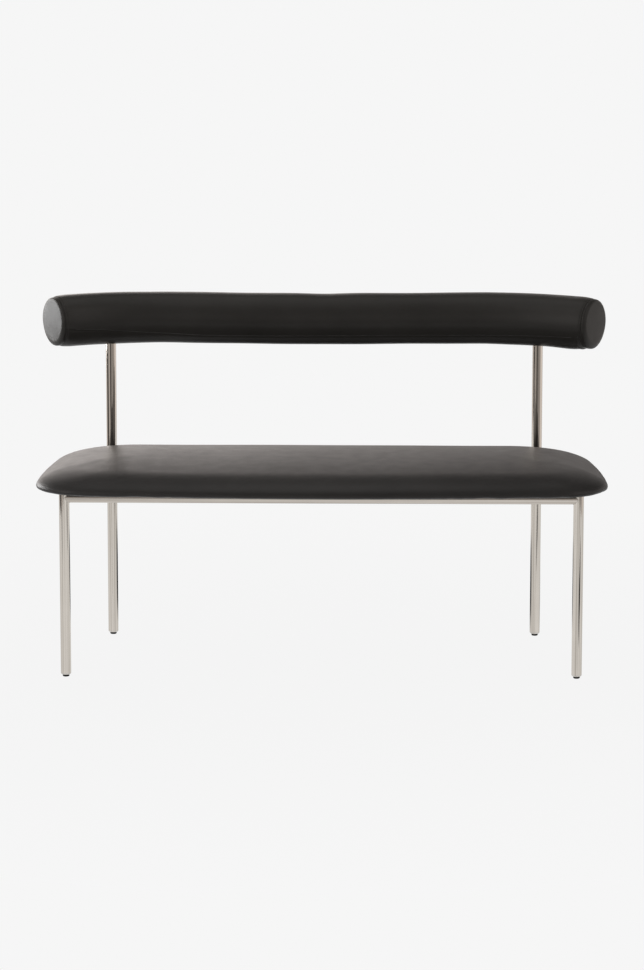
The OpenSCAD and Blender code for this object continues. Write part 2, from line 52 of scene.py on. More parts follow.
# Sizes of the soft parts, in metres, as the CAD source has them
def box_of(node):
    lo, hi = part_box(node)
    return np.array(lo), np.array(hi)


BOARD_LO, BOARD_HI = box_of("seat_board")
POST_LO, POST_HI = box_of("rear_post_right")
FRONT_LO, FRONT_HI = box_of("front_leg_right")
TUBE_R = (POST_HI[0] - POST_LO[0]) / 2
REAR_X = (POST_LO[0] + POST_HI[0]) / 2
REAR_Y = (POST_LO[1] + POST_HI[1]) / 2
FRONT_X = (FRONT_LO[0] + FRONT_HI[0]) / 2
FRONT_Y = (FRONT_LO[1] + FRONT_HI[1]) / 2

LEATHER_T = 1.4 * MM
EDGE_RISE = 8.7 * MM
EDGE_TUCK = 20.6 * MM
SHOULDER_W = 78 * MM
SHOULDER_H = 26.8 * MM
CROWN_H = 24 * MM
BOARD_INSET = 28 * MM
COVER_WRAP = 45 * MM
FRONT_CORNER_R = 89 * MM
REAR_CORNER_R = 140 * MM
SIDE_BOW = 17.7 * MM
FRONT_BOW = 45 * MM
REAR_BOW = 3 * MM
SEAT_BOTTOM = BOARD_LO[2] - LEATHER_T
EDGE_Z = SEAT_BOTTOM + EDGE_RISE

BACK_R = 62.5 * MM
BACK_Z = 796.5 * MM
BACK_HALF = 349 * MM
BEND_R = 604 * MM
BEND_A = math.radians(30.8)
BACK_SAG = 3.3 * MM
END_DRAW = 3.2 * MM
DRAW_L = 36 * MM
END_BULGE = 7.5 * MM
RING_STITCH = 4.6 * MM
POST_PAST_BEND = 177 * MM
AXIS_Y = REAR_Y + BEND_R * (1 - math.cos(math.asin(POST_PAST_BEND / BEND_R)))
BEND_L = BEND_R * BEND_A
SOCKET_R = TUBE_R + 2.2 * MM
CORE_BORE_R = 11.8 * MM

# The cloth simulations: how far a point may move, the pressure, the frames, and the share of the
# swelling that is taken back
SWELL_CAP = 0.004
PRESSURE = 4.0
SIM_FRAMES = 20
SEAT_LEVELLED = 0.82
BACK_LEVELLED = 0.75

# How deep the leather's small forms are
PUCKER = 0.00045
FOAM_HOLLOW = 0.0003
SEAT_FULLER_RIGHT = 4.8 * MM
SEAT_FULLER_LEFT = -2.4 * MM
SEAT_CORNER_LOW = 0.9 * MM


# Small helpers
def smooth(t):
    t = np.clip(t, 0, 1)
    return t * t * (3 - 2 * t)


def bump(d, width):
    return np.exp(-(np.asarray(d) / width) ** 2)


def circle(n):
    return np.linspace(0, 2 * math.pi, n, endpoint=False)


def waves(p, count, low, high, seed):
    """A smooth field between about -1 and 1 at the points p, made of seeded plane waves."""
    rng = np.random.default_rng(seed)
    total = np.zeros(len(p))
    for _ in range(count):
        k = rng.normal(size=3)
        k /= np.linalg.norm(k)
        total += np.sin(p @ k * 2 * math.pi / rng.uniform(low, high) + rng.uniform(0, 2 * math.pi))
    return total / math.sqrt(count)


def mesh_object(name, verts, faces, materials=(), slots=None):
    me = bpy.data.meshes.new(name)
    me.from_pydata([tuple(map(float, v)) for v in verts], [], [tuple(map(int, f)) for f in faces])
    me.validate()
    me.update()
    ob = bpy.data.objects.new(name, me)
    scene.collection.objects.link(ob)
    for m in materials:
        me.materials.append(m)
    if slots is not None:
        me.polygons.foreach_set("material_index", np.asarray(slots, np.int32))
    me.polygons.foreach_set("use_smooth", np.full(len(me.polygons), True))
    me.update()
    return ob


def ring_faces(a, b, n):
    """Quads between two rings of n points, the rings starting at point numbers a and b."""
    return [(a + k, a + (k + 1) % n, b + (k + 1) % n, b + k) for k in range(n)]


def subdivide(ob):
    sub = ob.modifiers.new("Subdivision", "SUBSURF")
    sub.levels = sub.render_levels = 1


def face_out(ob):
    bm = bmesh.new()
    bm.from_mesh(ob.data)
    bmesh.ops.recalc_face_normals(bm, faces=bm.faces)
    bm.to_mesh(ob.data)
    bm.free()


def apply_modifiers(ob):
    dg = bpy.context.evaluated_depsgraph_get()
    me = bpy.data.meshes.new_from_object(ob.evaluated_get(dg), depsgraph=dg)
    ob.modifiers.clear()
    ob.data = me
    return ob


def points_of(ob):
    co = np.zeros(len(ob.data.vertices) * 3)
    ob.data.vertices.foreach_get("co", co)
    return co.reshape(-1, 3)


# Materials
def node(nt, kind, **sets):
    n = nt.nodes.new("ShaderNode" + kind)
    for k, v in sets.items():
        if k in n.inputs.keys():
            n.inputs[k].default_value = v
        else:
            setattr(n, k, v)
    return n


def new_material(name):
    m = bpy.data.materials.new(name)
    m.use_nodes = True
    nt = m.node_tree
    nt.nodes.clear()
    bsdf = node(nt, "BsdfPrincipled")
    nt.links.new(bsdf.outputs[0], node(nt, "OutputMaterial").inputs[0])
    return m, nt, bsdf


def coords(nt, scale=(1, 1, 1)):
    tc = node(nt, "TexCoord")
    mp = node(nt, "Mapping")
    mp.inputs["Scale"].default_value = scale
    nt.links.new(tc.outputs["Object"], mp.inputs[0])
    return mp.outputs[0]


def texture(nt, kind, vec, **sets):
    n = node(nt, "Tex" + kind, **sets)
    nt.links.new(vec, n.inputs["Vector"])
    return n


def noise(nt, vec, scale, detail=3.0, rough=0.5):
    return texture(nt, "Noise", vec, Scale=scale, Detail=detail, Roughness=rough).outputs["Fac"]


def ramp(nt, fac, stops):
    r = node(nt, "ValToRGB")
    el = r.color_ramp.elements
    while len(el) < len(stops):
        el.new(0.5)
    for e, (pos, col) in zip(el, stops):
        e.position = pos
        e.color = (*col, 1)
    nt.links.new(fac, r.inputs[0])
    return r.outputs[0]


def grey(nt, fac, stops):
    """A ramp of plain levels instead of colours."""
    return ramp(nt, fac, [(pos, (v, v, v)) for pos, v in stops])


def span(nt, fac, low, high, from_low=0.3, from_high=0.7):
    r = node(nt, "MapRange")
    for key, value in (("From Min", from_low), ("From Max", from_high), ("To Min", low), ("To Max", high)):
        r.inputs[key].default_value = value
    nt.links.new(fac, r.inputs["Value"])
    return r.outputs[0]


def math_node(nt, op, a, b):
    n = node(nt, "Math", operation=op)
    for i, x in enumerate((a, b)):
        if isinstance(x, (int, float)):
            n.inputs[i].default_value = x
        else:
            nt.links.new(x, n.inputs[i])
    return n.outputs[0]


def times(nt, a, b):
    return math_node(nt, "MULTIPLY", a, b)


def mixed(nt, kind, fac, a, b):
    n = node(nt, "MixRGB", blend_type=kind, Fac=fac)
    nt.links.new(a, n.inputs["Color1"])
    nt.links.new(b, n.inputs["Color2"])
    return n.outputs[0]


def mix_shaders(nt, fac, a, b):
    n = node(nt, "MixShader")
    for i, x in enumerate((fac, a, b)):
        nt.links.new(x, n.inputs[i])
    return n.outputs[0]


def bump_node(nt, height, strength, distance, after=None):
    b = node(nt, "Bump", Strength=strength, Distance=distance)
    nt.links.new(height, b.inputs["Height"])
    if after is not None:
        nt.links.new(after, b.inputs["Normal"])
    return b.outputs[0]


def leather(name, tone, shine, rough):
    m, nt, b = new_material(name)
    vec = coords(nt)
    # Colour: slow cloudiness of the dye and finer mottling in the grain
    cloud = noise(nt, vec, 9.0, 4.0, 0.55)
    dark = tuple(c * 0.88 for c in tone)
    light = tuple(min(1, c * 1.12) for c in tone)
    base = ramp(nt, cloud, [(0.25, dark), (0.75, light)])
    # Pebbled grain: cells about a millimetre wide with creases between them
    cells = node(nt, "TexVoronoi", feature="DISTANCE_TO_EDGE", Scale=820.0)
    cells.inputs["Randomness"].default_value = 0.95
    warp = noise(nt, vec, 260.0, 2.0, 0.5)
    nt.links.new(mixed(nt, "LINEAR_LIGHT", 0.0012, vec, warp), cells.inputs["Vector"])
    crease = span(nt, cells.outputs["Distance"], 0.0, 1.0, 0.0, 0.28)
    pores = noise(nt, vec, 2600.0, 2.0, 0.6)
    # Painted shade: the colour is darkened along the creases between the grain's cells
    base_with_painted_crease_shade = mixed(nt, "MULTIPLY", 0.35, base, grey(nt, crease, [(0.0, 0.55), (0.6, 1)]))
    nt.links.new(base_with_painted_crease_shade, b.inputs["Base Color"])
    nt.links.new(span(nt, noise(nt, vec, 30.0, 5.0, 0.6), rough[0], rough[1]), b.inputs["Roughness"])
    b.inputs["Specular IOR Level"].default_value = shine
    b.inputs["IOR"].default_value = 1.48
    first = bump_node(nt, crease, 0.22, 0.00012)
    second = bump_node(nt, pores, 0.18, 0.00004, first)
    soft = bump_node(nt, noise(nt, vec, 55.0, 3.0, 0.5), 0.05, 0.0006, second)
    nt.links.new(soft, b.inputs["Normal"])
    return m


def steel(name, axis=2, tone=(0.66, 0.615, 0.56), rough=(0.05, 0.09)):
    """Polished tube along the given axis, with the long faint flats and fine drawn marks of its making as
    bumps, and painted reflection streaks along it in its colour.
    """
    m, nt, b = new_material(name)

    def stretched(wide, long, detail):
        scale = [wide] * 3
        scale[axis] = long
        return noise(nt, coords(nt, tuple(scale)), 1.0, detail, 0.5)

    fine = stretched(900, 6, 3.0)
    flats = stretched(190, 0.9, 1.0)
    painted_streaks = stretched(430, 1.1, 1.0)
    haze = noise(nt, coords(nt), 16.0, 5.0, 0.6)
    b.inputs["Metallic"].default_value = 1.0
    warm = tuple(c * 0.94 for c in tone)
    hazy = ramp(nt, haze, [(0.3, warm), (0.7, tone)])
    # Painted reflection streaks: the colour is darkened in long streaks along the tube
    painted_streak_tone = ramp(nt, painted_streaks, [(0.32, (0.66, 0.65, 0.63)), (0.55, (1, 1, 1))])
    nt.links.new(mixed(nt, "MULTIPLY", 1.0, hazy, painted_streak_tone), b.inputs["Base Color"])
    nt.links.new(span(nt, haze, rough[0], rough[1]), b.inputs["Roughness"])
    drawn = bump_node(nt, fine, 0.10, 0.00004)
    nt.links.new(bump_node(nt, flats, 0.45, 0.00022, drawn), b.inputs["Normal"])
    return m


def zinc(name):
    m, nt, b = new_material(name)
    vec = coords(nt)
    spangle = texture(nt, "Voronoi", vec, Scale=420.0)
    mott = noise(nt, vec, 60.0, 5.0, 0.6)
    b.inputs["Metallic"].default_value = 1.0
    tone = ramp(nt, mott, [(0.3, (0.50, 0.51, 0.52)), (0.7, (0.66, 0.67, 0.68))])
    nt.links.new(tone, b.inputs["Base Color"])
    nt.links.new(span(nt, spangle.outputs["Distance"], 0.32, 0.46, 0.0, 0.8), b.inputs["Roughness"])
    nt.links.new(bump_node(nt, noise(nt, vec, 900.0, 3.0, 0.6), 0.12, 0.00005), b.inputs["Normal"])
    return m


def nylon(name):
    m, nt, b = new_material(name)
    vec = coords(nt)
    nt.links.new(ramp(nt, noise(nt, vec, 220.0, 4.0, 0.6),
                      [(0.3, (0.006, 0.006, 0.006)), (0.75, (0.012, 0.0115, 0.011))]), b.inputs["Base Color"])
    b.inputs["Specular IOR Level"].default_value = 0.2
    nt.links.new(span(nt, noise(nt, vec, 500.0, 3.0, 0.6), 0.42, 0.58), b.inputs["Roughness"])
    nt.links.new(bump_node(nt, noise(nt, vec, 1600.0, 3.0, 0.6), 0.25, 0.00008), b.inputs["Normal"])
    return m


def plywood(name):
    m, nt, b = new_material(name)
    vec = coords(nt)
    # Face grain runs along the bench; the edges show the plies as bands in height
    grain = noise(nt, coords(nt, (3, 60, 60)), 3.0, 6.0, 0.6)
    plies = texture(nt, "Wave", vec, wave_type="BANDS", bands_direction="Z", Scale=230.0, Distortion=0.4)
    face = ramp(nt, grain, [(0.25, (0.42, 0.27, 0.14)), (0.5, (0.62, 0.45, 0.27)), (0.8, (0.72, 0.56, 0.37))])
    edge = ramp(nt, plies.outputs["Fac"], [(0.35, (0.6, 0.52, 0.45)), (0.65, (1, 1, 1))])
    nt.links.new(mixed(nt, "MULTIPLY", 0.5, face, edge), b.inputs["Base Color"])
    nt.links.new(span(nt, grain, 0.55, 0.75), b.inputs["Roughness"])
    nt.links.new(bump_node(nt, grain, 0.3, 0.0002), b.inputs["Normal"])
    return m


def foam(name):
    m, nt, b = new_material(name)
    vec = coords(nt)
    cells = texture(nt, "Voronoi", vec, Scale=900.0)
    nt.links.new(ramp(nt, noise(nt, vec, 40.0, 4.0, 0.6),
                      [(0.3, (0.76, 0.66, 0.40)), (0.7, (0.84, 0.76, 0.52))]), b.inputs["Base Color"])
    b.inputs["Roughness"].default_value = 0.9
    nt.links.new(bump_node(nt, cells.outputs["Distance"], 0.6, 0.0006), b.inputs["Normal"])
    return m


def woven(name, tone, pitch):
    """Plain weave: two sets of threads at right angles, a pitch apart."""
    m, nt, b = new_material(name)
    heights = []
    for direction in ("X", "Y"):
        w = node(nt, "TexWave", wave_type="BANDS", bands_direction=direction,
                 Scale=0.314159 / pitch, Distortion=0.6)
        w.inputs["Detail"].default_value = 1.0
        w.inputs["Detail Scale"].default_value = 3.0
        nt.links.new(coords(nt), w.inputs["Vector"])
        heights.append(w.outputs["Fac"])
    both = times(nt, heights[0], heights[1])
    fuzz = noise(nt, coords(nt), 1500.0, 3.0, 0.7)
    nt.links.new(ramp(nt, math_node(nt, "ADD", both, times(nt, fuzz, 0.4)),
                      [(0.1, tuple(c * 0.55 for c in tone)), (0.9, tuple(c * 1.5 for c in tone))]),
                 b.inputs["Base Color"])
    b.inputs["Roughness"].default_value = 0.88
    b.inputs["Sheen Weight"].default_value = 0.25
    b.inputs["Sheen Roughness"].default_value = 0.5
    nt.links.new(bump_node(nt, both, 0.6, 0.0003), b.inputs["Normal"])
    return m


def thread_material(name, tone):
    m, nt, b = new_material(name)
    twist = node(nt, "TexWave", wave_type="BANDS", bands_direction="DIAGONAL", Scale=700.0,
                 Distortion=0.3)
    nt.links.new(coords(nt), twist.inputs["Vector"])
    nt.links.new(ramp(nt, twist.outputs["Fac"], [(0.2, tuple(c * 0.6 for c in tone)), (0.8, tone)]),
                 b.inputs["Base Color"])
    b.inputs["Roughness"].default_value = 0.55
    b.inputs["Sheen Weight"].default_value = 0.2
    nt.links.new(bump_node(nt, twist.outputs["Fac"], 0.5, 0.0001), b.inputs["Normal"])
    return m


LEATHER_SEAT = leather("leather_seat", (0.0235, 0.0220, 0.0213), 0.27, (0.38, 0.44))
LEATHER_BACK = leather("leather_back", (0.0300, 0.0282, 0.0262), 0.13, (0.29, 0.37))
FOAM = foam("foam_cut")
THREAD = thread_material("thread_black", (0.05, 0.048, 0.045))
STEEL_Z = steel("steel_upright")
# The lengthways rails get a darker copy of the polished steel: painted shade
STEEL_X_SHADED = steel("steel_lengthways_shaded", 0, (0.60, 0.555, 0.505))
STEEL_Y = steel("steel_crossways", 1)
STEEL_TURNED = steel("steel_turned", 2, (0.63, 0.60, 0.56), (0.12, 0.20))
ZINC = zinc("zinc_plated")
NYLON = nylon("nylon_black")
PLY = plywood("birch_plywood")
CLOTH = woven("dust_cloth_black", (0.030, 0.030, 0.032), 0.0011)

# What the carried-over nodes are made of, by the start of their names; the rest is zinc plated
FINISHES = ((STEEL_Z, ("front_leg", "rear_post")), (STEEL_X_SHADED, ("front_rail", "rear_rail")),
            (STEEL_Y, ("side_rail", "centre_rail")), (STEEL_TURNED, ("leg_top_caps", "leg_end_plugs")),
            (NYLON, ("glide_pad",)), (PLY, ("seat_board", "back_end_board")),
            (FOAM, ("seat_foam", "back_foam")), (CLOTH, ("seat_underside_cloth",)),
            (LEATHER_BACK, ("seat_cover", "back_cover", "back_end_cover")))
for name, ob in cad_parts.items():
    m = next((finish for finish, starts in FINISHES if name.startswith(starts)), ZINC)
    ob.data.materials.clear()
    ob.data.materials.append(m)


# Seat: the plan's outline as the CAD draws it, with more points
def rounded(p, a, b, r, steps):
    da, db = (a - p) / np.linalg.norm(a - p), (b - p) / np.linalg.norm(b - p)
    half = math.acos(float(da @ db)) / 2
    c = p + (da + db) / np.linalg.norm(da + db) * r / math.sin(half)
    s = p + da * r / math.tan(half) - c
    turn, start = math.pi - 2 * half, math.atan2(s[1], s[0])
    return [c + r * np.array([math.cos(start + turn * i / steps), math.sin(start + turn * i / steps)])
            for i in range(steps + 1)]


FRONT_HALF = FRONT_X + 68.7 * MM
REAR_HALF = REAR_X + 100 * MM
FRONT_EDGE = FRONT_Y - 56 * MM
REAR_EDGE = REAR_Y - TUBE_R - 4 * MM
HALF_W = max(FRONT_HALF, REAR_HALF)
HALF_D = (REAR_EDGE - FRONT_EDGE) / 2
MID_Y = (FRONT_EDGE + REAR_EDGE) / 2


def seat_outline():
    f, r = np.array([FRONT_HALF, FRONT_EDGE]), np.array([REAR_HALF, REAR_EDGE])
    fa = rounded(f, np.array([0, FRONT_EDGE]), r, FRONT_CORNER_R, 24)
    ra = rounded(r, f, np.array([0, REAR_EDGE]), REAR_CORNER_R, 24)
    pts = [np.array([fa[0][0] * s, FRONT_EDGE]) for s in np.linspace(0, 1, 60, endpoint=False)]
    pts += fa
    pts += [fa[-1] + (ra[0] - fa[-1]) * s for s in np.linspace(0, 1, 24)[1:-1]]
    pts += ra
    pts += [np.array([ra[-1][0] * s, REAR_EDGE]) for s in np.linspace(1, 0, 60)[1:]]
    out = []
    for p in pts:
        t = (p[1] - FRONT_EDGE) / (REAR_EDGE - FRONT_EDGE)
        middle = 1 - (p[0] / HALF_W) ** 2
        out.append([p[0] + SIDE_BOW * p[0] / HALF_W * 4 * t * (1 - t),
                    p[1] + middle * (REAR_BOW * max(0, 2 * t - 1) - FRONT_BOW * max(0, 1 - 2 * t))])
    half = np.array(out)
    left = half[-2:0:-1] * [-1, 1]
    return np.vstack([half, left])


def resample(loop, n):
    """n points at equal steps round a closed outline, from its first point."""
    closed = np.vstack([loop, loop[:1]])
    d = np.concatenate([[0], np.cumsum(np.linalg.norm(np.diff(closed, axis=0), axis=1))])
    at = np.linspace(0, d[-1], n, endpoint=False)
    return np.column_stack([np.interp(at, d, closed[:, k]) for k in range(2)])


OUTLINE = seat_outline()


def plan_in(loop, d):
    return np.column_stack([loop[:, 0] * (1 - d / HALF_W),
                            MID_Y + (loop[:, 1] - MID_Y) * (1 - d / HALF_D)])


def crown(d):
    return CROWN_H * (1 - (1 - np.minimum(d, HALF_D) / HALF_D) ** 2)


def depth_in(xy):
    """How far in from the outline the points lie, in the drawn-in sense of plan_in."""
    rel = OUTLINE - [0, MID_Y]
    ang = np.arctan2(rel[:, 1], rel[:, 0])
    rad = np.hypot(rel[:, 0], rel[:, 1])
    order = np.argsort(ang)
    ang, rad = ang[order], rad[order]
    ang = np.concatenate([ang[-1:] - 2 * math.pi, ang, ang[:1] + 2 * math.pi])
    rad = np.concatenate([rad[-1:], rad, rad[:1]])
    lo, hi = np.zeros(len(xy)), np.full(len(xy), HALF_D * 0.99999)
    for _ in range(40):
        mid = (lo + hi) / 2
        x = xy[:, 0] / (1 - mid / HALF_W)
        y = (xy[:, 1] - MID_Y) / (1 - mid / HALF_D)
        inside = np.hypot(x, y) < np.interp(np.arctan2(y, x), ang, rad)
        lo, hi = np.where(inside, mid, lo), np.where(inside, hi, mid)
    return lo


def patch(loop, nx, ny):
    """Grid that fills a closed loop of 2*(nx+ny) points whose first point is a corner of the patch.
    Returns the inner points and the quads, numbered with the loop first."""
    n = len(loop)
    grid = -np.ones((nx + 1, ny + 1), int)
    for i in range(nx + 1):
        grid[i, 0] = i
        grid[i, ny] = (2 * nx + ny - i) % n
    for j in range(ny + 1):
        grid[nx, j] = nx + j
        grid[0, j] = (n - j) % n
    inner, count = [], n
    for i in range(1, nx):
        for j in range(1, ny):
            u, v = i / nx, j / ny
            a = (1 - v) * loop[grid[i, 0]] + v * loop[grid[i, ny]]
            b = (1 - u) * loop[grid[0, j]] + u * loop[grid[nx, j]]
            c = ((1 - u) * (1 - v) * loop[grid[0, 0]] + u * (1 - v) * loop[grid[nx, 0]]
                 + (1 - u) * v * loop[grid[0, ny]] + u * v * loop[grid[nx, ny]])
            inner.append(a + b - c)
            grid[i, j] = count
            count += 1
    quads = [(grid[i, j], grid[i + 1, j], grid[i + 1, j + 1], grid[i, j + 1])
             for i in range(nx) for j in range(ny)]
    return np.array(inner), quads


NX, NY = 132, 44
RING_N = 2 * (NX + NY)


def seat_loop(n):
    """The outline at n points, starting near the front left corner, so that patch() gets its corners."""
    loop = resample(OUTLINE, n)
    return np.roll(loop, -int(np.argmin(loop[:, 0] * 0.55 + loop[:, 1])), axis=0)


def seat_skin(loop):
    """The leather's outside: rings from the wrap under the board to the crown, then a grid over the top."""
    section = [(d, SEAT_BOTTOM) for d in np.linspace(COVER_WRAP, EDGE_TUCK, 6)]
    for a in np.linspace(90, 0, 9)[1:-1]:
        a = math.radians(a)
        section.append((EDGE_TUCK * (1 - math.cos(a)), EDGE_Z - EDGE_RISE * math.sin(a)))
    for a in np.linspace(0, 90, 15):
        a = math.radians(a)
        d = SHOULDER_W * (1 - math.cos(a))
        section.append((d, EDGE_Z + SHOULDER_H * math.sin(a) + crown(d)))
    verts, faces = [], []
    for d, z in section:
        verts += [[p[0], p[1], z] for p in plan_in(loop, d)]
    rings = len(section)
    for i in range(rings - 1):
        faces += ring_faces(i * RING_N, (i + 1) * RING_N, RING_N)
    inner, quads = patch(plan_in(loop, section[-1][0]), NX, NY)
    d = depth_in(inner)
    top = EDGE_Z + SHOULDER_H + crown(d)
    first = (rings - 1) * RING_N
    verts += [[p[0], p[1], z] for p, z in zip(inner, top)]
    faces += [tuple(first + q for q in quad) for quad in quads]
    return np.array(verts), faces, rings


def inflate(name, verts, faces, held):
    """Cloth simulation of a skin under pressure; returns how far each point moved, capped. held is 0 to 1."""
    ob = mesh_object(name, verts, faces)
    group = ob.vertex_groups.new(name="held")
    for i, w in enumerate(held):
        if w > 0:
            group.add([i], float(w), "REPLACE")
    mod = ob.modifiers.new("Cloth", "CLOTH")
    s = mod.settings
    s.quality = 6
    s.mass = 0.25
    s.air_damping = 4
    s.tension_stiffness = 60
    s.compression_stiffness = 60
    s.shear_stiffness = 30
    s.bending_stiffness = 3
    s.use_pressure = True
    s.uniform_pressure_force = PRESSURE
    s.vertex_group_mass = "held"
    s.effector_weights.gravity = 0
    mod.point_cache.frame_start = 1
    mod.point_cache.frame_end = SIM_FRAMES
    for f in range(1, SIM_FRAMES + 1):
        scene.frame_set(f)
    moved = points_of(apply_modifiers(ob)) - verts
    scene.frame_set(1)
    bpy.data.objects.remove(ob)
    size = np.linalg.norm(moved, axis=1)
    over = np.maximum(size, 1e-9)
    return moved * (SWELL_CAP * np.tanh(over / SWELL_CAP) / over)[:, None]


def vertex_normals(verts, faces):
    n = np.zeros_like(verts)
    for f in faces:
        p = verts[list(f)]
        c = np.cross(p[2] - p[0], p[3] - p[1]) if len(f) == 4 else np.cross(p[1] - p[0], p[2] - p[0])
        for i in f:
            n[i] += c
    return n / np.maximum(np.linalg.norm(n, axis=1), 1e-12)[:, None]


def build_seat():
    loop = seat_loop(RING_N)
    verts, faces, rings = seat_skin(loop)
    count = len(verts)
    ring_of = np.minimum(np.arange(count) // RING_N, rings)
    normals = vertex_normals(verts, faces)
    if normals[-1][2] < 0:
        normals = -normals
        faces = [tuple(reversed(f)) for f in faces]
    # Puckers where the leather is gathered under the edge, strongest near the corners and in front
    k = np.arange(count) % RING_N
    theta = k / RING_N * 2 * math.pi
    along = np.column_stack([np.cos(theta), np.sin(theta), theta * 0])
    gather = waves(along * 0.55, 7, 0.028, 0.06, 11) + 0.6 * waves(along * 0.55, 5, 0.014, 0.024, 12)
    slow = 0.55 + 0.45 * waves(along * 0.55, 3, 0.5, 1.2, 13)
    side = np.where(ring_of < rings, 1.0, 0.0)
    tucked = side * bump(ring_of - 9.5, 4.2)
    held = np.where(ring_of <= 5, 1.0, 0.0)
    moved = inflate("seat_sim", verts, faces, held)
    level = np.where(held > 0, 0, (moved * normals).sum(axis=1))
    verts = verts + moved - normals * (level * SEAT_LEVELLED)[:, None]
    verts = verts + normals * (PUCKER * gather * slow * tucked)[:, None]
    # Very slight hollows and fullness of the foam under the leather
    top = smooth((ring_of - 12) / 10)
    hollows = waves(verts * [1, 1.6, 0], 6, 0.22, 0.5, 14)
    verts = verts + normals * (FOAM_HOLLOW * top * hollows)[:, None]
    # Fuller shoulders at the two ends, the right one more. The lower edge is a little lower near the
    # front corners.
    end = smooth((np.abs(verts[:, 0]) - 0.59) / 0.07) * bump(verts[:, 2] - EDGE_Z - 15 * MM, 13 * MM)
    verts[:, 0] += np.where(verts[:, 0] > 0, SEAT_FULLER_RIGHT, SEAT_FULLER_LEFT) * end
    corner = bump(np.abs(verts[:, 0]) - 0.60, 0.12) * smooth((-0.14 - verts[:, 1]) / 0.08)
    verts[:, 2] -= SEAT_CORNER_LOW * corner * smooth((ring_of - 4) / 3) * (1 - smooth((ring_of - 13) / 6))
    # Pocket for the board: the leather's cut edge, the foam's sides and the lid over the board
    leather_faces = len(faces)
    under_board, over_board = BOARD_LO[2] - 0.05 * MM, BOARD_HI[2] + 0.1 * MM
    inside = [(COVER_WRAP, under_board), (BOARD_INSET - 0.2 * MM, under_board),
              (BOARD_INSET - 0.2 * MM, over_board), (BOARD_INSET + 6 * MM, over_board)]
    extra, last = [], 0
    for j, (d, z) in enumerate(inside):
        start = count + j * RING_N
        extra += [[p[0], p[1], z] for p in plan_in(loop, d)]
        for i in range(RING_N):
            m = (i + 1) % RING_N
            faces.append((last + i, start + i, start + m, last + m))
        last = start
    inner, quads = patch(plan_in(loop, inside[-1][0]), NX, NY)
    base = count + len(extra) - RING_N
    extra += [[p[0], p[1], inside[-1][1]] for p in inner]
    faces += [tuple(base + q for q in quad)[::-1] for quad in quads]
    verts = np.vstack([verts, extra])
    slots = [0] * (leather_faces + RING_N) + [1] * (len(faces) - leather_faces - RING_N)
    ob = mesh_object("seat_cushion", verts, faces, [LEATHER_SEAT, FOAM], slots)
    face_out(ob)
    subdivide(ob)
    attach(ob, "bench")
    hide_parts("seat_cover", "seat_foam")
    return ob


# Backrest: a round bolster on a path with two bends
def path_point(s):
    m, side = abs(s) - BACK_HALF, math.copysign(1, s)
    if m <= 0:
        return np.array([s, AXIS_Y, BACK_Z]), 0.0
    a = m / BEND_R
    return np.array([side * (BACK_HALF + BEND_R * math.sin(a)),
                     AXIS_Y - BEND_R * (1 - math.cos(a)), BACK_Z]), side * a


SAG_REACH = BACK_HALF + 50 * MM
HALF_L = BACK_HALF + BEND_L


def sag_at(s):
    return BACK_SAG * (1 - (s / SAG_REACH) ** 2) if abs(s) < SAG_REACH else 0.0


# Where the long seam runs: the angle below the front of the bolster, at distances along it
SEAM = [(-0.67, 13.0), (-0.55, 21.0), (-0.43, 31.0), (-0.30, 36.5), (-0.15, 37.0), (0.0, 35.5), (0.2, 35.0),
        (0.4, 35.5), (0.55, 33.0), (0.67, 30.0)]


def seam_angle(s):
    x, y = zip(*SEAM)
    return math.radians(np.interp(s, x, y))


def back_point(s, a, r):
    """Point at distance s along the bolster and angle a round it: 0 is the front, 90 the top."""
    p, t = path_point(s)
    out = np.array([math.sin(t), math.cos(t), 0.0])
    drop = np.array([0, 0, sag_at(s)])
    return p - drop - out * r * math.cos(a) + np.array([0, 0, r * math.sin(a)])


def sleeve_radius(s):
    left = HALF_L - abs(s)
    draw = max(0.0, 1 - left / DRAW_L) ** 2
    groove = 1.0 * MM * math.exp(-(left / (1.3 * MM)) ** 2)
    stitched = 0.55 * MM * math.exp(-((left - RING_STITCH) / (0.9 * MM)) ** 2)
    return BACK_R - END_DRAW * draw - groove - stitched


def set_back(side, a):
    """How far inward of the bolster's end the ring seam lies at angle a. The panels reach round below."""
    low = smooth((0.15 - math.sin(a)) / 1.15)
    return (2.5 + 12.0 * low) * MM if side > 0 else 7.5 * MM * low


def ring_full(side, a):
    """How much fuller than round the ring seam is at angle a: the right end hangs a little at its bottom."""
    return 3.8 * MM * bump(math.degrees(math.acos(max(-1, min(1, -math.sin(a))))), 50) if side > 0 else 0.0


def warp(s, a):
    """Distance along the bolster, drawn inward near the ends by set_back."""
    side = math.copysign(1, s)
    reach = smooth((abs(s) - (HALF_L - 80 * MM)) / (80 * MM))
    return s - side * set_back(side, a) * reach


